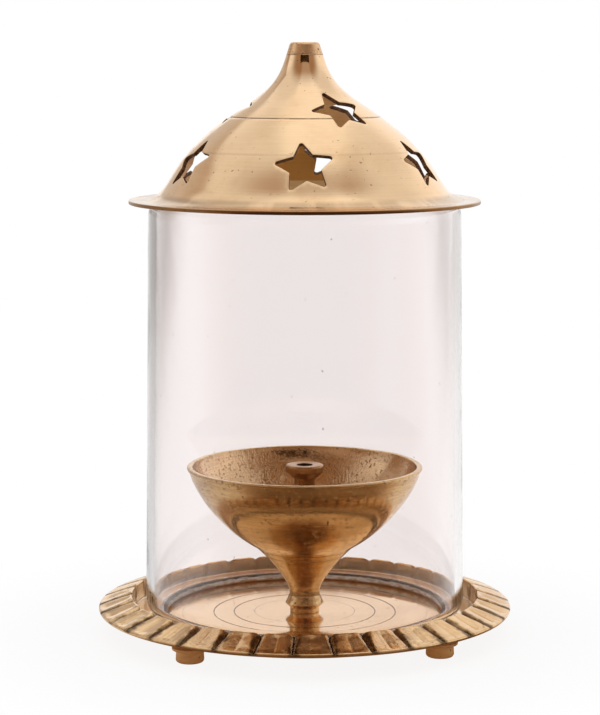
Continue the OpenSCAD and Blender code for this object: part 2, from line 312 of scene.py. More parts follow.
def brass(name, pale, deep, rough, lean, pitch, depth, pits=0.5, lines=0.25, stretch=0.5, rings=(), bands=(),
          chatter=0.0, grooves=None, metal=1.0, wavy=0.0, grain=0.0, foot=None):
    """Turned and polished brass: fine turning marks, cloudy tone, pits, and gloss drawn out across the marks.

    pale and deep are its tones. lean and pitch are those of Shader.turned, depth is that of the marks.
    pits and lines say how dark the pits and turning marks are, stretch how far the gloss is drawn out.
    rings and bands are scribed lines at radii and heights, as (place, half width, darkness) in millimetres.
    chatter is the depth of short tool marks across the turning marks. grooves is (count, first angle, half
    width as a share of the pitch) of radial valleys with painted shade, darker at the front, and streaks
    along them.
    wavy is the depth of dents left by hand work, grain that of the fine specks of a casting.
    foot is (height, colour) of a lighter band below a height in millimetres, which is painted light.
    """
    stain = 0.5
    s = Shader(name)
    fine = s.noise(s.turned(lean, pitch), 1.0, 3.0, 0.6)
    broad = s.noise(s.turned(lean, 9 * pitch, 0.7), 1.0, 2.0)
    cloud = s.noise(s.place, 90.0, 4.0, 0.6)
    pit = s.between(s.noise(s.place, 1300.0, 1.0, 0.5), 0.71, 0.78)
    stained = s.math("MULTIPLY", s.between(cloud, 0.42, 0.78), stain)
    lined = s.math("MULTIPLY", s.between(fine, 0.35, 0.75), lines)
    toned = s.mix(s.math("ADD", stained, lined, clamp=True), pale, deep)
    dark = darker(deep, 0.18)
    toned = s.mix(s.math("MULTIPLY", pit, pits), toned, dark)
    for along, marks in ((s.radius, rings), (s.height, bands)):
        for place, half_width, darkness in marks:
            toned = s.mix(s.math("MULTIPLY", s.mark(along, place, half_width), darkness), toned, dark)
    # A lighter band below a height: painted light
    if foot:
        top, tone = foot
        fade = 0.15
        below = s.between(s.height, (top - fade) * MM, (top + fade) * MM, 1.0, 0.0)
        toned = s.mix(below, toned, tone)
    if grain:
        specks = s.between(s.noise(s.place, 1500.0, 3.0, 0.65), 0.58, 0.68)
        worn = s.between(s.noise(s.place, 160.0, 2.0), 0.4, 0.62, 0.15, 0.7)
        toned = s.mix(s.product(specks, worn), toned, darker(deep, 0.42))
    if grooves:
        count, first, half_width = grooves
        x, y, _ = s.add("ShaderNodeSeparateXYZ", {0: s.way}).outputs
        angle = s.math("ARCTAN2", y, x)
        turn = s.math("MULTIPLY", s.math("SUBTRACT", angle, first), count / (2 * math.pi))
        whole_turns = 100
        share = s.math("FRACT", s.math("ADD", turn, whole_turns + 0.5))
        off = s.math("ABSOLUTE", s.math("SUBTRACT", share, 0.5))
        off = s.math("ADD", off, s.between(s.noise(s.place, 500.0, 3.0), 0.3, 0.7, -0.06, 0.06))
        streak = s.noise(s.turned(0.3, 0.007, 80.0), 1.0, 3.0, 0.6)
        toned = s.mix(s.between(streak, 0.42, 0.7, 0.0, 0.3), toned, deep)
        # The dark valleys are painted shade, stronger at the front than at the back
        valley = s.between(off, 0.2 * half_width, half_width, 0.85, 0.0)
        painted_shade_front = s.between(y, -0.1, 0.4, 1.0, 0.3)
        toned = s.mix(s.product(valley, painted_shade_front), toned, dark)
    s.drive("Base Color", toned)
    streaky = s.between(broad, 0.3, 0.7, -0.04, 0.04)
    cloudy = s.between(cloud, 0.3, 0.8, -0.02, 0.06)
    s.drive("Roughness", s.math("ADD", s.math("ADD", streaky, cloudy), rough, clamp=True))
    s.drive("Metallic", metal)
    s.drive("Anisotropic", stretch)
    s.drive("Anisotropic Rotation", 0.25)
    s.drive("Tangent", s.add("ShaderNodeTangent", direction_type="RADIAL", axis="Z").outputs[0])
    normal = s.bump(fine, depth)
    if grain:
        normal = s.bump(specks, grain, normal=normal)
    if wavy:
        normal = s.bump(s.noise(s.place, 260.0, 2.0), wavy, normal=normal)
    if grooves:
        normal = s.bump(streak, 8e-6, normal=normal)
    if chatter:
        dashes = s.between(s.noise(s.turned(lean, 0.0009, 55.0), 1.0, 1.0), 0.4, 0.7)
        dashes = s.math("MULTIPLY", dashes, s.between(s.noise(s.place, 70.0, 1.0), 0.42, 0.6))
        normal = s.bump(dashes, chatter, normal=normal)
    s.drive("Normal", s.bump(pit, 3e-5, 0.6, normal, invert=True))
    return s.material


def clear_glass(name):
    """Blown glass: clear, faintly rosy, a little wavy, with a few fine seeds."""
    s = Shader(name)
    seed = s.between(s.noise(s.place, 900.0, 1.0, 0.4), 0.8, 0.83)
    s.drive("Base Color", s.mix(seed, (0.985, 0.948, 0.943, 1.0), (0.45, 0.40, 0.38, 1.0)))
    s.drive("Transmission Weight", 1.0)
    s.drive("Roughness", 0.0)
    s.drive("IOR", 1.5)
    s.drive("Normal", s.bump(s.noise(s.place, 55.0, 2.0), 6e-5))
    return s.material


def painted_glass_lip(name):
    """The rough lip of the glass, opaque: grey and white streaks round its middle, which are painted glints,
    dark at the top, and warm at the foot, a painted colour of the brass that it stands on, as if seen through
    the glass."""
    s = Shader(name)
    streak = s.noise(s.turned(0.0, 0.0007, 14.0), 1.0, 3.0, 0.65)
    rise = s.math("ADD", s.height, s.between(streak, 0.2, 0.8, -0.0002, 0.0002))
    # Grey and white streaks: painted glints
    pale = s.mix(s.between(streak, 0.4, 0.56), rgb(222, 214, 210), rgb(255, 253, 252))
    # Warm foot: painted colour of the brass seen through the glass
    lower = s.mix(s.between(rise, 0.0039, 0.0042), rgb(220, 176, 138), pale)
    s.drive("Base Color", s.mix(s.between(rise, 0.0046, 0.00485), lower, rgb(104, 84, 72)))
    s.drive("Roughness", s.between(streak, 0.3, 0.7, 0.2, 0.5))
    s.drive("IOR", 1.5)
    s.drive("Normal", s.bump(streak, 1.2e-4))
    return s.material


def hole_shade(name):
    """The inside of the wick's hole: dark and dull, which is painted shade of the deep hole."""
    s = Shader(name)
    cloud = s.noise(s.place, 1800.0, 3.0)
    s.drive("Base Color", s.mix(s.between(cloud, 0.35, 0.7), rgb(34, 22, 15), rgb(74, 46, 28)))
    s.drive("Roughness", s.between(cloud, 0.3, 0.7, 0.6, 0.9))
    s.drive("Normal", s.bump(cloud, 5e-5))
    return s.material


def cut_edge(name):
    """The sawn thickness of the lid's sheet: dull and scratched, painted dark as the shade on the walls of
    the star holes.
    """
    s = Shader(name)
    scratch = s.noise(s.place, 2600.0, 3.0)
    s.drive("Base Color", s.mix(s.between(scratch, 0.35, 0.7), rgb(74, 44, 22), rgb(128, 84, 46)))
    s.drive("Roughness", s.between(scratch, 0.3, 0.7, 0.45, 0.7))
    s.drive("Metallic", 0.4)
    s.drive("Normal", s.bump(scratch, 3e-5))
    return s.material


def zinc_steel(name):
    """Zinc-plated steel with a faint blue-grey bloom."""
    s = Shader(name)
    cloud = s.noise(s.place, 700.0, 3.0)
    bloom = s.between(cloud, 0.3, 0.7)
    s.drive("Base Color", s.mix(bloom, (0.62, 0.64, 0.66, 1), (0.42, 0.44, 0.46, 1)))
    s.drive("Roughness", s.between(cloud, 0.3, 0.7, 0.25, 0.45))
    s.drive("Metallic", 1.0)
    s.drive("Normal", s.bump(cloud, 2e-5, 0.5))
    return s.material


# On the lid, the wide dark band at the dome's foot is painted shade where the dome meets the flange, and the
# dark line at lid_line_z is painted shade in its scribed groove
lid_brass = brass(
    "lid_brass", rgb(249, 213, 170), rgb(222, 177, 128), rough=0.18, lean=-0.9, pitch=0.00035, depth=4e-6,
    lines=0.14, bands=((lid_line_z, 0.13, 0.8), (91.7, 0.25, 0.12), (lid_low[2] + flange_t, 1.6, 0.4)))
finial_brass = brass(
    "finial_brass", rgb(247, 211, 170), rgb(218, 174, 128), rough=0.07, lean=-0.9, pitch=0.00035,
    depth=1e-6, lines=0.14, pits=0.9)
tip_brass = brass(
    "tip_brass", rgb(240, 200, 156), rgb(192, 146, 102), rough=0.32, lean=-0.9, pitch=0.00025, depth=1.4e-5,
    pits=1.0, lines=0.4, bands=((109.4, 0.12, 0.6),), grain=6e-5)
# The flange is the dome's own brass; its darker tones are painted shade
flange_brass = brass(
    "flange_brass", rgb(200, 160, 116), rgb(164, 122, 80), rough=0.16, lean=0.9, pitch=0.00035, depth=6e-6,
    pits=0.8)
# The inside of the lid: its dark tones are painted shade of the hollow, and the lighter band at its foot is
# painted light
lid_inside_brass = brass(
    "lid_inside_brass", rgb(214, 156, 78), rgb(172, 114, 48), rough=0.36, lean=-0.9, pitch=0.0006,
    depth=1.2e-5, metal=0.35, foot=(84.6, rgb(246, 206, 146)))
# The flange's rim and its underside out to the seat are painted dark brown: painted shade
flange_edge = brass(
    "flange_edge", rgb(152, 110, 68), rgb(106, 70, 40), rough=0.3, lean=1.0, pitch=0.0002, depth=1.5e-5,
    pits=1.0, stretch=0.0)
# The walls of the star holes are painted dark: painted shade
star_edge = cut_edge("star_edge")
# The inside of the wick's hole is painted near black: painted shade
wick_hole_shade = hole_shade("wick_hole_shade")
tray_brass = brass(
    "tray_brass", rgb(244, 212, 171), rgb(226, 188, 144), rough=0.1, lean=0.9, pitch=0.0005, depth=2e-6,
    lines=0.1,
    rings=tuple((mark, 0.16, 0.9) for mark in ring_marks) + ((9.6, 0.12, 0.35), (23.5, 0.1, 0.25)))
rim_brass = brass(
    "rim_brass", rgb(238, 201, 154), rgb(182, 130, 70), rough=0.15, lean=0.3, pitch=0.0009, depth=6e-6,
    pits=0.9, grooves=(flute_count, first_groove, 0.2), wavy=2e-4)
under_brass = brass(
    "under_brass", rgb(226, 186, 138), rgb(176, 132, 86), rough=0.3, lean=0.9, pitch=0.0007, depth=1.2e-5,
    pits=1.0, lines=0.4)
# The tray's wall is the tray's own brass; its paler tones are painted light
wall_brass = brass(
    "wall_brass", rgb(255, 229, 196), rgb(240, 200, 156), rough=0.12, lean=0.3, pitch=0.0009, depth=6e-6,
    pits=0.9, grooves=(flute_count, first_groove, 0.16), wavy=1e-4, metal=0.5)
bowl_brass = brass(
    "bowl_brass", rgb(230, 197, 146), rgb(190, 149, 94), rough=0.15, lean=0.9, pitch=0.0006, depth=1.4e-5,
    pits=0.9, lines=0.5, grain=8e-5, bands=((bowl_marks[1], 0.1, 0.6), (bowl_marks[0], 0.08, 0.5)))
bowl_inside_brass = brass(
    "bowl_inside_brass", rgb(228, 194, 153), rgb(186, 145, 104), rough=0.11, lean=0.9, pitch=0.0005,
    depth=8e-6, pits=0.9, chatter=3e-5, grain=6e-5)
holder_brass = brass(
    "holder_brass", rgb(190, 148, 104), rgb(140, 98, 60), rough=0.3, lean=0.9, pitch=0.0004, depth=1e-5,
    pits=1.0)
cast_brass = brass(
    "cast_brass", rgb(234, 182, 124), rgb(186, 132, 82), rough=0.36, lean=0.4, pitch=0.0008, depth=2e-5,
    pits=1.0, stretch=0.0, metal=0.7)
glass = clear_glass("clear_glass")
glass_lip = painted_glass_lip("painted_glass_lip")
steel = zinc_steel("zinc_steel")

# Tray with its fluted rim

floor_z = bowl_low[2]
plate_r = plate_high[0]
plate_under_z = plate_low[2]
crest_z = plate_high[2]
tray_r = 33.0
plate_t = floor_z - plate_under_z
rim_w = plate_r - tray_r
rim_fall = 2.1
rim_edge_t = 0.8
tray_fillet = plate_t / 2
flute_steps = 36
flute_depth = 0.6
flute_edge_depth = 0.45
groove_w = 2.9
groove_reach_in = 1.5
wall_groove = 0.5
panel_crown = 0.3
crown_fade = 1.0
crown_margin = 0.3
# The grooves were pressed by hand, so each has its own size and stands a little off its place
groove_draw = np.random.default_rng(11)
groove_size = groove_draw.uniform(0.86, 1.1, flute_count)
groove_off = groove_draw.integers(-1, 2, flute_count)


def fluted(r, z, a):
    """Lowers the top of the rim to the grooves, each a straight valley with rounded shoulders, and lets them
    run out down the inside of the wall. The panels between them are slightly crowned."""
    step = 2 * math.pi / flute_count
    index = np.rint((a - first_groove) / step).astype(int) % flute_count
    off = (a - first_groove + step / 2) % step - step / 2 - groove_off[index] * step / flute_steps
    size = groove_size[index]
    near = 1 - np.clip(np.abs(r * np.sin(off)) / (size * groove_w / 2), 0, 1)
    along = r * np.cos(off) - tray_r
    lift = 0.05
    fall = (rim_fall - flute_depth + flute_edge_depth) / rim_w
    cut = crest_z - fall * along + lift - (flute_depth + lift) * size * near**2
    lowered = np.where((near > 0) & (along > -groove_reach_in), np.minimum(z, cut), z)
    rise = np.clip((z - floor_z - tray_fillet) / (crest_z - floor_z - tray_fillet), 0, 1)
    wall = np.clip(1 - (r - tray_r) / tray_fillet, 0, 1) * (r > tray_r - 1e-6)
    top = np.clip(along / crown_fade, 0, 1) * np.clip((plate_r - crown_margin - r) / crown_fade, 0, 1)
    lowered = lowered - panel_crown * top * (2 * off / step)**2 * (1 - near)
    return r + wall_groove * size * wall * rise * near**1.5, lowered


def make_tray():
    FLOOR, RIM, WALL, UNDER = range(4)
    materials = [tray_brass, rim_brass, wall_brass, under_brass]
    edge_round = rim_edge_t / 2
    edge_z = crest_z - rim_fall
    crest_round = plate_t / 2
    wall_r = tray_r + plate_t
    wall_top = crest_z - plate_t - flute_depth
    margin = 0.4
    rim_lean = 90 - math.degrees(math.atan(rim_fall / rim_w))
    near_marks = [mark + side for mark in ring_marks for side in (-0.6, -0.25, 0.25, 0.6)]
    floor_end = tray_r - tray_fillet
    floor_r = np.sort(np.concatenate([
        np.linspace(screw_hole_r, floor_end - margin, 9), near_marks, [floor_end]]))
    floor = np.column_stack([floor_r, np.full(len(floor_r), floor_z)])
    floor = scribed(floor, 0, ring_marks, width=0.24, depth=0.06, inward=(0, -1))
    edge_top = arc((plate_r - edge_round, edge_z - edge_round), edge_round, rim_lean, -90, 10)
    crest = arc((tray_r + crest_round, crest_z - crest_round), crest_round, 180, rim_lean, 8)
    wall = joined(
        arc((floor_end, floor_z + tray_fillet), tray_fillet, -90, 0, 6),
        straight((tray_r, floor_z + tray_fillet), crest[0], 5))
    rim = joined(crest, straight(crest[-1], edge_top[0], 15), edge_top[:6])
    under = joined(
        edge_top[5:],
        (wall_r, wall_top),
        straight((wall_r, wall_top), (wall_r, plate_under_z + plate_t), 2),
        arc((wall_r - plate_t, plate_under_z + plate_t), plate_t, 0, -90, 5),
        straight((wall_r - plate_t - margin, plate_under_z), (screw_hole_r, plate_under_z), 3),
        (screw_hole_r, floor_z))
    turns = flute_count * flute_steps
    build = Build()
    build.lathe(floor, kind=FLOOR, turns=turns, shape=fluted, start=first_groove)
    build.lathe(wall, kind=WALL, turns=turns, shape=fluted, start=first_groove)
    build.lathe(rim, kind=RIM, turns=turns, shape=fluted, start=first_groove)
    build.lathe(under, kind=UNDER, turns=turns, start=first_groove)
    make_piece(build, "tray", "base", "base_plate", materials, crease=50)


# Feet

foot_nodes = ("front_left_foot", "front_right_foot", "rear_right_foot", "rear_left_foot")


def make_feet():
    collar = 0.5
    collar_out = 0.7
    collar_round = 0.2
    bevel = 0.6
    dish = 0.05
    seat_w = 0.9
    draw_in = 0.08
    under_round = 0.18
    for node in foot_nodes:
        low, high = corners(node)
        x, y = (low[:2] + high[:2]) / 2
        collar_r = (high[0] - low[0]) / 2
        r = collar_r - collar_out
        top = high[2]
        neck_z = top - collar - 0.15
        profile = joined(
            (0, dish),
            straight((0, dish), (r - seat_w, 0.0), 3),
            straight((r - seat_w, 0.0), (r - bevel, 0.0), 2),
            arc((r - bevel, bevel), bevel, -90, 0, 6),
            straight((r, bevel), (r - draw_in, neck_z), 6),
            arc((r - draw_in + under_round, neck_z), under_round, 180, 90, 3),
            arc((collar_r - collar_round, top - collar + collar_round), collar_round, -90, 0, 4),
            (collar_r, top),
            (0, top))
        build = Build()
        build.lathe(profile, turns=72)
        build.points = (np.array(build.points) + (x, y, 0)).tolist()
        make_piece(build, node.replace("_foot", "_stud"), "base", node, [cast_brass])


# Bowl on its stem


def make_bowl():
    r = bowl_high[0]
    h = bowl_high[2] - floor_z
    bead = 0.35
    wall = 1.1
    rim_round = 0.25
    foot_r = 2.8
    foot_round = 0.1
    foot_h = 0.8
    neck = 2.9
    neck_h = 3.3
    neck_top = neck_h + 0.8
    tap_r = 1.55
    tap_h = 6.8
    waist = np.array((9.7, 13.0))
    waist_slope = math.radians(29.5)
    way = np.array((math.cos(waist_slope), math.sin(waist_slope)))
    inner = np.array((8.3, 14.4))
    well_r = 1.66
    well_z = inner[1] - 3.3
    side = bezier([(r - bead, h - 2 * bead), (r - bead - 1, h - 5), waist + 7.5 * way, waist], 70)
    stem = bezier([waist, waist - 1.5 * way, (neck, neck_h + 2.9), (neck, neck_top)], 36)
    inside = bezier([(r - wall, h - bead), (r - wall - 1.1, h - 4.8), inner + (7.2, 3.6), inner], 70)
    outside = joined(
        (tap_r, 0),
        straight((tap_r, 0), (foot_r - foot_round, 0), 2),
        arc((foot_r - foot_round, foot_round), foot_round, -90, 0, 3),
        straight((foot_r, foot_round), (foot_r, foot_h), 4),
        straight((foot_r, foot_h), (3.55, 1.62), 4),
        arc((3.57, 1.7), 0.08, -60, 60, 4),
        straight((3.6, 1.78), (neck, neck_h), 8),
        straight((neck, neck_h), (neck, neck_top), 4),
        stem[::-1],
        side[::-1])
    marks = [mark - floor_z for mark in bowl_marks]
    outside = scribed(outside, 1, marks, width=0.2, depth=0.04, inward=(-1, 0.4))
    outside = joined(
        outside,
        arc((r - bead, h - bead), bead, -60, 80, 8),
        (r - 0.55, h),
        (r - 0.8, h - 0.03),
        arc((r - wall + rim_round, h - rim_round - 0.02), rim_round, 95, 180, 5))
    hollow = joined(
        outside[-1],
        inside[2:],
        (well_r, inner[1]),
        (well_r, well_z),
        (0, well_z),
        (0, tap_h),
        (tap_r, tap_h),
        (tap_r, 0))
    build = Build()
    build.lathe(outside + (0, floor_z))
    build.lathe(hollow + (0, floor_z), kind=1)
    make_piece(build, "bowl", "base", "diya_bowl", [bowl_brass, bowl_inside_brass])


# Wick holder


def make_holder():
    low = holder_low[2]
    top = holder_high[2]
    base_z = low + 3.0
    base_r = 3.6
    head_r = holder_high[0]
    head_z = top - 2.4
    spigot_r = 1.6
    hole_r = 1.475
    stem_r = 1.975
    fillet = 0.2
    profile = joined(
        (0, low),
        (spigot_r - 0.15, low),
        (spigot_r, low + 0.15),
        (spigot_r, base_z),
        (base_r - 0.1, base_z),
        arc((base_r - 0.1, base_z + 0.1), 0.1, -90, 0, 3),
        (base_r, base_z + 0.4),
        arc((base_r - 0.15, base_z + 0.45), 0.15, 0, 60, 3),
        (2.1, base_z + 0.95),
        arc((stem_r + fillet, base_z + 1.15), fillet, -90, -180, 4),
        straight((stem_r, base_z + 1.2), (stem_r, head_z - fillet), 10),
        arc((stem_r + fillet, head_z - fillet), fillet, 180, 90, 4),
        (2.5, head_z),
        straight((2.5, head_z), (head_r - 0.06, head_z + 1.05), 8),
        arc((head_r - 0.15, head_z + 1.2), 0.15, -50, 0, 3),
        straight((head_r, head_z + 1.25), (head_r, top - 0.45), 4),
        arc((head_r - 0.4, top - 0.4), 0.4, 0, 85, 6),
        straight((head_r - 0.5, top), (hole_r + 0.35, top - 0.06), 5),
        arc((hole_r + 0.2, top - 0.26), 0.2, 80, 130, 2))
    bore = joined(
        profile[-1],
        arc((hole_r + 0.2, top - 0.26), 0.2, 130, 180, 2),
        straight((hole_r, top - 0.3), (hole_r, base_z + 1.0), 10),
        (0, base_z + 1.0))
    build = Build()
    build.lathe(profile, turns=128)
    build.lathe(bore, kind=1, turns=128)
    # The cross hole that lets the oil in
    hole = Build()
    hole_z = base_z + 2.6
    reach = 3.0
    count = 32
    ring = arc((0, hole_z), 0.8, 0, 360, count)[:-1]
    ends = np.vstack([np.column_stack([np.full(count, x), ring]) for x in (-reach, reach)])
    sides = [[i, (i + 1) % count, count + (i + 1) % count, count + i] for i in range(count)]
    caps = [list(range(count - 1, -1, -1)), list(range(count, 2 * count))]
    hole.add(ends, sides + caps)
    make_piece(build, "wick_tube", "wick_holder", "wick_holder", [holder_brass, wick_hole_shade],
               cutter=hole)


# Screw and washer under the tray


def make_fixing():
    head_r = screw_high[0]
    head_z = screw_low[2]
    head_top = washer_low[2]
    head_round = 0.5
    crown = 0.02
    shank_r = 1.5
    end_z = screw_high[2]
    profile = joined(
        (0, head_z),
        straight((0, head_z), (head_r - head_round, head_z + crown), 4),
        arc((head_r - head_round, head_z + crown + head_round), head_round, -90, 0, 6),
        (head_r, head_top),
        (shank_r, head_top),
        straight((shank_r, head_top), (shank_r, end_z - 0.3), 6),
        (shank_r - 0.25, end_z),
        (0, end_z))
    build = Build()
    build.lathe(profile, turns=64)
    slot = Build()
    reach = 4.0
    half = 0.4
    slot_top = head_z + 0.7
    floor = [(-reach, -half), (reach, -half), (reach, half), (-reach, half)]
    slot.add([(x, y, z) for z in (head_z - 1, slot_top) for x, y in floor],
             [(3, 2, 1, 0), (4, 5, 6, 7), (0, 1, 5, 4), (1, 2, 6, 5), (2, 3, 7, 6), (3, 0, 4, 7)])
    make_piece(build, "screw", "base", "fixing_screw", [steel], cutter=slot)
    r = washer_high[0]
    low, high = washer_low[2], washer_high[2]
    edge_round = 0.1
    profile = joined(
        (screw_hole_r, low),
        straight((screw_hole_r, low), (r - edge_round, low), 3),
        arc((r - edge_round, low + edge_round), edge_round, -90, 0, 3),
        (r, high),
        (screw_hole_r, high))
    build = Build()
    build.lathe(profile, closed=True, turns=96)
    make_piece(build, "washer", "base", "screw_washer", [steel])


# Glass chimney


def make_glass():
    r = glass_high[0]
    h = glass_high[2] - glass_low[2]
    t = 1.5
    heel = 3.2
    heel_r = r - heel
    open_r = heel_r - 0.9
    top_r = r - 0.9
    mouth_r = top_r - 0.35
    mouth_h = 3.0
    lip = 0.3
    ease = 1.5
    neck_z = h - mouth_h
    in_r = mouth_r - t
    edge = t / 2
    profile = joined(
        straight((open_r + edge, 0), (heel_r, 0), 2),
        arc((heel_r, heel), heel, -90, 0, 20),
        straight((r, heel), (top_r, neck_z), 60),
        bezier([(top_r, neck_z), (top_r, neck_z + ease), (mouth_r, h - ease), (mouth_r, h - lip)], 12),
        arc((mouth_r - lip, h - lip), lip, 15, 90, 5),
        arc((in_r + lip, h - lip), lip, 90, 165, 5),
        bezier([(in_r, h - lip), (in_r, h - ease), (top_r - t, neck_z + ease), (top_r - t, neck_z)], 12),
        straight((top_r - t, neck_z), (r - t, heel), 60),
        arc((heel_r, heel), heel - t, 0, -90, 16),
        straight((heel_r, t), (open_r + edge, t), 2))
    lip_edge = arc((open_r + edge, edge), edge, 90, 270, 12)
    build = Build()
    build.lathe(profile + (0, glass_low[2]))
    build.lathe(lip_edge + (0, glass_low[2]), kind=1)
    make_piece(build, "chimney_glass", "chimney", "glass_chimney", [glass, glass_lip],
               crease=60)


# Lid, pierced with stars

lid_z = lid_low[2]
lid_h = lid_high[2] - lid_z
lid_t = 0.8
flange_r = lid_high[0]
shoulder = np.array((10.3, lid_h - 11.2))
shoulder_slope = math.radians(32.5)
shoulder_way = np.array((math.cos(shoulder_slope), -math.sin(shoulder_slope)))
tip_r = 2.15
tip_round = 0.7
cap_r = 3.45
cap_h = 2.4
dome_foot = np.array((30.05, flange_t))
dome_span = np.linalg.norm(dome_foot - shoulder)
dome_fullness = 0.78
cap_z = lid_h - cap_h
flare_curve = [(cap_r, cap_z), (cap_r + 0.75, cap_z - 2.2), shoulder - 6.5 * shoulder_way, shoulder]
dome_pull = dome_fullness * dome_span * shoulder_way
dome_curve = [shoulder, shoulder + dome_pull, dome_foot + (-6.5, 1.5), dome_foot]
dome_inside_end = 0.8
star_r = 5.4
star_inner_r = 3.0
star_round = 0.45
star_bevel = 0.07
lower_star_at = 0.4
upper_star_at = 0.035
# Turn of each star from the front, towards +X, and its lean, in degrees
lower_stars = ((0, 7), (67, 6), (106, 4), (167, 6), (242, 5), (294, 6))
upper_stars = ((32, 9), (127, 5), (269, 6))
lid_line_w = 0.28
lid_line_depth = 0.06
finial_h = 8.3


class Dome:
    """The lid's outside from cap to flange, laid flat as a disc: the distance from the centre is the length
    along the outline, so a flat pattern can be cut in it and then set back on the dome."""

    def __init__(self):
        self.line = joined(bezier(flare_curve, 80), bezier(dome_curve, 200))
        gap = np.linalg.norm(np.diff(self.line, axis=0), axis=1)
        self.length = cap_r + np.concatenate([[0], np.cumsum(gap)])
        way = np.gradient(self.line, self.length, axis=0)
        way /= np.linalg.norm(way, axis=1)[:, None]
        self.normal = np.stack([-way[:, 1], way[:, 0]], 1)

    def at_length(self, length, table):
        """A point of the outline, or its normal there, at a length along it."""
        return [np.interp(length, self.length, table[:, k]) for k in (0, 1)]

    def at_height(self, z):
        return float(np.interp(-z, -self.line[:, 1], self.length))

    def at_radius(self, r):
        return float(np.interp(r, self.line[:, 0], self.length))

    def lay(self, flat, depth=0.0):
        """Points of the flat disc set on the dome, a depth below its outside."""
        flat = np.asarray(flat, float)
        length = np.linalg.norm(flat, axis=1)
        way = flat / length[:, None]
        r, z = self.at_length(length, self.line)
        out, up = self.at_length(length, self.normal)
        r = r - depth * out
        z = z - depth * up
        return np.column_stack([way * r[:, None], z + lid_z])

    def stamp(self, shape, at, turn):
        """A flat outline pressed square onto the dome at a length along it, as points of the disc."""
        r0, z0 = self.at_length(at, self.line)
        n = np.array(self.at_length(at, self.normal))
        up = np.array((-n[1], n[0]))
        radial = r0 + shape[:, 1] * up[0]
        height = z0 + shape[:, 1] * up[1]
        side = shape[:, 0]
        depth = np.zeros(len(shape))
        for _ in range(12):
            reach = radial + depth * n[0]
            r = np.hypot(reach, side)
            depth -= (height + depth * n[1] - np.interp(r, self.line[:, 0], self.line[:, 1])) * n[1]
        reach = radial + depth * n[0]
        angle = np.arctan2(side, reach) + math.radians(turn - 90)
        length = np.interp(np.hypot(reach, side), self.line[:, 0], self.length)
        return length[:, None] * np.column_stack([np.cos(angle), np.sin(angle)])


def star_outline(grow, lean):
    """A five-pointed star with round tips and corners, grown outwards; its first tip points up."""
    corner_round = 0.25
    arc_steps = 6
    longest_edge = 0.3
    across = star_inner_r * math.sin(math.pi / 5)
    along = star_inner_r * math.cos(math.pi / 5)
    sharp_r = star_r
    for _ in range(4):
        half = math.atan2(across, sharp_r - along)
        sharp_r = star_r + star_round * (1 / math.sin(half) - 1)
    reach = np.tile((sharp_r, star_inner_r), 5)
    angle = np.radians(90 + lean + 36 * np.arange(10))
    polygon = np.column_stack([reach * np.cos(angle), reach * np.sin(angle)])
    rows = []
    for k in range(10):
        a, b, c = polygon[k - 1], polygon[k], polygon[(k + 1) % 10]
        u, v = (a - b) / np.linalg.norm(a - b), (c - b) / np.linalg.norm(c - b)
        half = math.acos(np.clip(u @ v, -1, 1)) / 2
        tip = k % 2 == 0
        r = star_round if tip else corner_round
        centre = b + (u + v) / np.linalg.norm(u + v) * r / math.sin(half)
        start = b + u * r / math.tan(half) - centre
        sweep = (math.pi - 2 * half) * (1 if tip else -1)
        grown = r + grow if tip else r - grow
        for i in range(arc_steps + 1):
            at = math.atan2(start[1], start[0]) + sweep * i / arc_steps
            rows.append(centre + grown * np.array((math.cos(at), math.sin(at))))
    smooth = []
    for p, q in zip(rows, rows[1:] + rows[:1]):
        count = max(1, int(np.linalg.norm(q - p) / longest_edge))
        smooth.extend(p + (q - p) * j / count for j in range(count))
    return np.array(smooth)


def inside_polygon(points, polygon):
    """Whether each point lies inside a closed polygon."""
    x, y = points[:, 0][:, None], points[:, 1][:, None]
    x0, y0 = polygon[:, 0][None], polygon[:, 1][None]
    x1, y1 = np.roll(x0, -1, 1), np.roll(y0, -1, 1)
    spans = (y0 > y) != (y1 > y)
    rise = np.where(y1 == y0, 1e-12, y1 - y0)
    crossing = spans & (x < x0 + (y - y0) * (x1 - x0) / rise)
    return crossing.sum(1) % 2 == 1


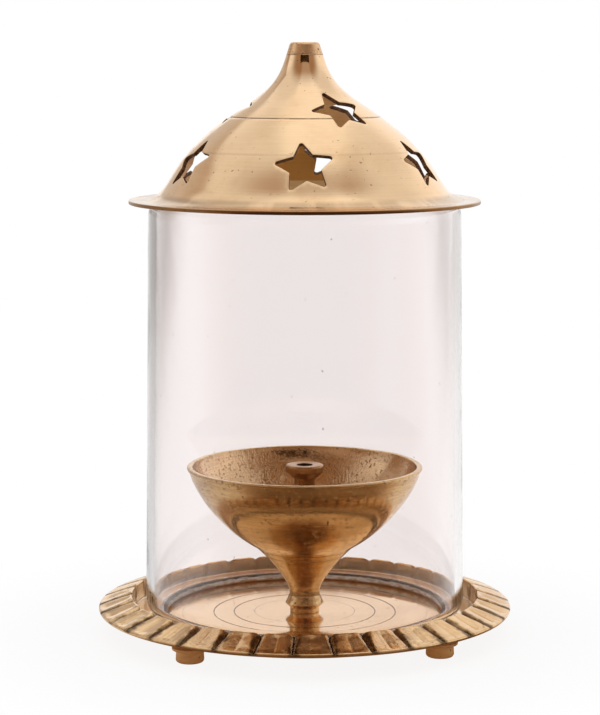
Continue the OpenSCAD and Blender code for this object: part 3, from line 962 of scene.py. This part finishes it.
def make_lid():
    DOME, INSIDE, STAR, EDGE, FINIAL, FLANGE, TIP = range(7)
    materials = [lid_brass, lid_inside_brass, star_edge, flange_edge, finial_brass, flange_brass, tip_brass]
    dome = Dome()
    line_at = dome.at_height(lid_line_z - lid_z)
    inside_end = dome.at_radius(bezier(dome_curve, 100)[int(100 * dome_inside_end)][0])
    foot_at = dome.length[-1]
    stars = []
    for row, at in ((lower_stars, lower_star_at), (upper_stars, upper_star_at)):
        centre = dome.at_radius(bezier(dome_curve, 1000)[int(1000 * at)][0])
        for turn, lean in row:
            stars.append((centre, turn, lean))
    rings = np.unique(np.round(np.concatenate([
        np.linspace(cap_r, inside_end, 62), np.linspace(inside_end, foot_at, 8),
        line_at + lid_line_w / 2 * np.array((-1, 0, 1))]), 6))
    # No other ring lies close to the three of the scribed line
    own, clear_of = 0.15, 0.3
    rings = [p for p in rings
             if p in (cap_r, inside_end) or abs(p - line_at) < own or abs(p - line_at) > clear_of]
    finial_end = min(rings, key=lambda p: abs(p - dome.at_height(lid_h - finial_h)))
    holes = [dome.stamp(star_outline(star_bevel, lean), at, turn) for at, turn, lean in stars]
    fence_gap = 0.45
    fences = [dome.stamp(star_outline(fence_gap, lean), at, turn) for at, turn, lean in stars]
    flat, edges = [], []

    def loop(points):
        start = len(flat)
        flat.extend(points.tolist())
        count = len(points)
        edges.extend((start + i, start + (i + 1) % count) for i in range(count))
        return np.arange(start, start + count)

    for p in rings:
        angle = np.arange(TURNS) * 2 * math.pi / TURNS
        points = p * np.column_stack([np.cos(angle), np.sin(angle)])
        if p in (rings[0], rings[-1], finial_end) or abs(p - inside_end) < 1e-5:
            loop(points)
            continue
        clear = np.ones(TURNS, bool)
        for fence in fences:
            clear &= ~inside_polygon(points, fence)
        flat.extend(points[clear].tolist())
    hole_loops = [loop(points) for points in holes]
    result = delaunay_2d_cdt([Vector(p) for p in flat], edges, [], 0, 1e-6, True)
    spots = np.array([tuple(p) for p in result[0]])
    triangles = np.array([tuple(f) for f in result[2]])
    place = {old: new for new, olds in enumerate(result[3]) for old in olds}
    middle = spots[triangles].mean(1)
    keep = np.linalg.norm(middle, axis=1) > cap_r * 0.9995
    for points in holes:
        keep &= ~inside_polygon(middle, points)
    triangles, middle = triangles[keep], middle[keep]
    on_line = np.abs(np.linalg.norm(spots, axis=1) - line_at) < 1e-4
    build = Build()
    outer = build.add(dome.lay(spots, np.where(on_line, lid_line_depth, 0.0)), triangles.tolist())
    polished = np.linalg.norm(middle, axis=1) < finial_end
    build.kinds = np.where(polished, FINIAL, DOME).tolist()
    within = np.linalg.norm(middle, axis=1) < inside_end
    inner = build.add(dome.lay(spots, lid_t), triangles[within].tolist(), INSIDE)
    for (at, turn, lean), ids in zip(stars, hole_loops):
        steps = np.radians((30, 60, 90))
        rounding = [(star_bevel * (1 - math.sin(a)), star_bevel * (1 - math.cos(a))) for a in steps]
        walls = rounding + [(g, lid_t - d) for g, d in rounding[::-1]]
        rows = [[outer + place[i] for i in ids]]
        for grow, down in walls:
            ring = dome.lay(dome.stamp(star_outline(grow, lean), at, turn), down)
            start = build.add(ring, [])
            rows.append(list(range(start, start + len(ring))))
        rows.append([inner + place[i] for i in ids])
        count = len(ids)
        for k, (a, b) in enumerate(zip(rows[:-1], rows[1:])):
            for i in range(count):
                j = (i + 1) % count
                build.faces.append([a[i], a[j], b[j], b[i]])
                build.kinds.append(DOME if k < 2 else STAR)
    base = np.array((0, lid_z))
    edge_round = 0.15
    edge_r = flange_r - edge_round
    seat_depth, seat_r, seat_in_r = 0.4, 29.55, 27.05
    last = dome.lay(np.array([[inside_end, 0.0]]), lid_t)[0]
    first = dome.lay(np.array([[cap_r, 0.0]]), lid_t)[0]
    cap = joined(
        (cap_r, cap_z),
        straight((cap_r, cap_z), (2.81, lid_h - 0.46), 12),
        arc((tip_r, lid_h - tip_round), tip_round, 20, 90, 10),
        straight((tip_r, lid_h), (0, lid_h - 0.06), 5))
    cap = scribed(cap, 1, [lid_h - 2.2], width=0.2, depth=0.04, inward=(-1, 0))
    flange = joined(
        dome_foot,
        straight(dome_foot, (edge_r, flange_t), 8),
        arc((edge_r, flange_t - edge_round), edge_round, 90, 0, 5))
    edge = joined(
        flange[-1],
        arc((edge_r, edge_round), edge_round, 0, -90, 5),
        straight((edge_r, 0), (seat_r + 0.05, 0), 5))
    seat = joined(
        edge[-1],
        (seat_r, 0.05),
        (seat_r, seat_depth),
        straight((seat_r, seat_depth), (seat_in_r, seat_depth), 3),
        (last[0], last[2] - lid_z))
    build.lathe(cap + base, kind=TIP)
    build.lathe(flange + base, kind=FLANGE)
    build.lathe(edge + base, kind=EDGE)
    build.lathe(seat + base, kind=INSIDE)
    build.lathe(joined((first[0], first[2]), (0, first[2] + 0.4)), kind=INSIDE)
    make_piece(build, "pierced_lid", "lid", "lid", materials, crease=38)


make_tray()
make_feet()
make_bowl()
make_holder()
make_fixing()
make_glass()
make_lid()

# Stage: a white floor that keeps the lamp's shadow, white surroundings and a darker side behind the camera

camera_away = 0.44
camera_up = 0.1105
white = (1, 1, 1, 1)


def seen_by(nodes, *rays):
    """1 for rays of the named kinds, 0 for the rest."""
    path = nodes.add("ShaderNodeLightPath").outputs
    total = path[rays[0]]
    for name in rays[1:]:
        total = nodes.math("MAXIMUM", total, path[name])
    return total


def reflected(nodes):
    """1 for rays that metal or the surface of the glass has thrown back, 0 for what is seen straight or
    through the glass."""
    path = nodes.add("ShaderNodeLightPath").outputs
    scattered = nodes.math("MINIMUM", path["Diffuse Depth"], 1.0)
    mirrored = nodes.math("MINIMUM", path["Glossy Depth"], 1.0)
    return nodes.math("MULTIPLY", mirrored, nodes.rest_of(scattered))


def toward(nodes, x, y, turn):
    """How far a direction points to a turn from the front, towards +X, in degrees: 1 is straight to it."""
    turn = math.radians(turn)
    return nodes.math("ADD", nodes.product(x, math.sin(turn)), nodes.product(y, -math.cos(turn)))


def span(nodes, value, rise, fall):
    """1 between two soft edges, each given by its start and end, and 0 outside them."""
    return nodes.product(nodes.between(value, *rise), nodes.between(value, *fall, 1.0, 0.0))


def backdrop_sides(nodes, aside):
    """How dim the backdrop is beside its white middle, for what is seen through the edges of the glass."""
    left = nodes.product(span(nodes, aside, (-0.6, -0.48), (-0.17, -0.085)), 0.55)
    right = nodes.product(span(nodes, aside, (0.085, 0.17), (0.48, 0.6)), 0.3)
    return nodes.math("ADD", left, right)


def make_floor():
    """White, with the lamp's shadow. In reflections it is dim and warm in front and a little dim on the left,
    and seen through the glass it has the dim sides of the backdrop."""
    size = 6.0
    corner_points = [(-size, -size, 0), (size, -size, 0), (size, size, 0), (-size, size, 0)]
    mesh = bpy.data.meshes.new("floor")
    mesh.from_pydata(corner_points, [], [(0, 1, 2, 3)])
    floor = bpy.data.objects.new("floor", mesh)
    bpy.context.scene.collection.objects.link(floor)
    s = Shader("floor_white")
    s.drive("Base Color", (0.86, 0.86, 0.86, 1))
    s.drive("Roughness", 0.9)
    s.drive("Specular IOR Level", 0.0)
    x, y, _ = s.add("ShaderNodeSeparateXYZ", {0: s.way}).outputs
    wide, deep, _ = s.add("ShaderNodeSeparateXYZ", {0: s.place}).outputs
    away = s.math("MAXIMUM", s.math("ADD", deep, camera_away), 0.05)
    sides = backdrop_sides(s, s.math("DIVIDE", wide, away))
    edges = s.product(sides, s.between(deep, -0.05, 0.75), seen_by(s, "Is Transmission Ray"))
    left = s.product(s.between(x, -0.6, -0.2, 0.25, 0.0), reflected(s))
    front = s.between(toward(s, x, y, 15), -0.05, 0.75, 0.0, 0.8)
    dim = s.product(front, s.between(s.radius, 0.1, 0.14, 1.0, 1.18), reflected(s))
    tint = s.mix(edges, s.mix(dim, white, (1.0, 0.5, 0.16, 1)), (1.0, 0.88, 0.8, 1))
    level = s.product(s.rest_of(dim), s.rest_of(edges), s.rest_of(left))
    glow = s.add("ShaderNodeEmission", {"Color": tint, "Strength": level})
    plain = s.math("MULTIPLY", s.between(s.radius, 0.04, 0.085, 0.87, 1.0), seen_by(s, "Is Camera Ray"))
    share = s.math("MAXIMUM", plain, seen_by(s, "Is Glossy Ray", "Is Transmission Ray"))
    mixed = s.add("ShaderNodeMixShader", {0: share, 1: s.bsdf.outputs[0], 2: glow.outputs[0]})
    s.tree.links.new(mixed.outputs[0], s.tree.nodes["Material Output"].inputs["Surface"])
    mesh.materials.append(s.material)


def make_world():
    """White behind and above, with a dim warm side behind the camera, two dark panels there, the dim sides of
    the overhead light, and dim places on the left and back left. Only reflections show these. Seen straight
    it is plain white, and seen through the glass it has the dim sides of the backdrop."""
    world = bpy.data.worlds.new("studio")
    bpy.context.scene.world = world
    world.use_nodes = True
    world.node_tree.nodes.clear()
    n = Nodes(world.node_tree)
    place = n.add("ShaderNodeTexCoord").outputs["Generated"]
    x, y, z = n.add("ShaderNodeSeparateXYZ", {0: place}).outputs
    flat = n.math("SQRT", n.math("ADD", n.math("MULTIPLY", x, x), n.math("MULTIPLY", y, y)))
    flat = n.math("MAXIMUM", flat, 1e-4)
    facing = n.math("MULTIPLY", y, -1.0)
    to_front = n.math("DIVIDE", facing, flat)
    to_corner = n.math("DIVIDE", toward(n, x, y, 224), flat)
    to_door = n.math("DIVIDE", toward(n, x, y, 14), flat)
    overhead = n.math("ABSOLUTE", n.math("SUBTRACT", x, 0.08))
    front = n.product(n.between(facing, -0.05, 0.55, 0.0, 0.58), n.between(z, 0.75, 0.95, 1.0, 0.7))
    low = n.product(n.between(to_front, 0.7, 0.97), n.between(z, 0.2, 0.42, 1.0, 0.0), 0.3)
    panel = n.product(n.between(to_front, 0.87, 0.9), span(n, z, (0.535, 0.545), (0.61, 0.62)), 0.94)
    door = n.product(n.between(to_door, 0.925, 0.94), span(n, z, (0.32, 0.35), (0.5, 0.54)), 0.95)
    sides = n.product(n.between(overhead, 0.2, 0.38), n.between(y, 0.4, 0.9, 1.0, 0.0), 0.24)
    sides = n.product(sides, n.between(z, 0.35, 0.65))
    corner = n.product(n.between(to_corner, 0.87, 0.89), n.between(z, 0.6, 0.66, 1.0, 0.0), 0.42)
    left = n.product(n.between(x, -0.9, -0.6, 1.0, 0.0), n.between(z, 0.25, 0.5, 1.0, 0.0), 0.4)
    brightest = 1.07
    dims = (front, low, panel, sides, corner, left, door)
    seen = n.product(*[n.rest_of(dim) for dim in dims], brightest)
    near_floor = n.between(z, 0.05, 0.12, 1.0, 0.0)
    edges = n.product(backdrop_sides(n, x), near_floor, seen_by(n, "Is Transmission Ray"))
    mirrored = reflected(n)
    level = n.math("ADD", n.product(seen, mirrored), n.product(n.rest_of(edges), n.rest_of(mirrored)))
    tint = n.mix(n.between(level, 0.08, 0.75, 1.0, 0.0), white, (1.0, 0.46, 0.1, 1))
    shade = n.add("ShaderNodeBackground", {"Color": tint, "Strength": level})
    n.tree.links.new(shade.outputs[0], n.add("ShaderNodeOutputWorld").inputs["Surface"])


def make_camera():
    focal_px = 2343.0
    image_h = 715.0
    sensor = 36.0
    data = bpy.data.cameras.new("camera")
    data.sensor_width = sensor
    data.lens = focal_px * sensor / image_h
    data.clip_start = 0.01
    camera = bpy.data.objects.new("camera", data)
    bpy.context.scene.collection.objects.link(camera)
    tilt, pan = 0.131, 0.002
    camera.location = (0, -camera_away, camera_up)
    camera.rotation_euler = (math.pi / 2 - tilt, 0, pan)
    bpy.context.scene.camera = camera


make_floor()
make_world()
make_camera()
bpy.context.scene.view_settings.view_transform = "Standard"
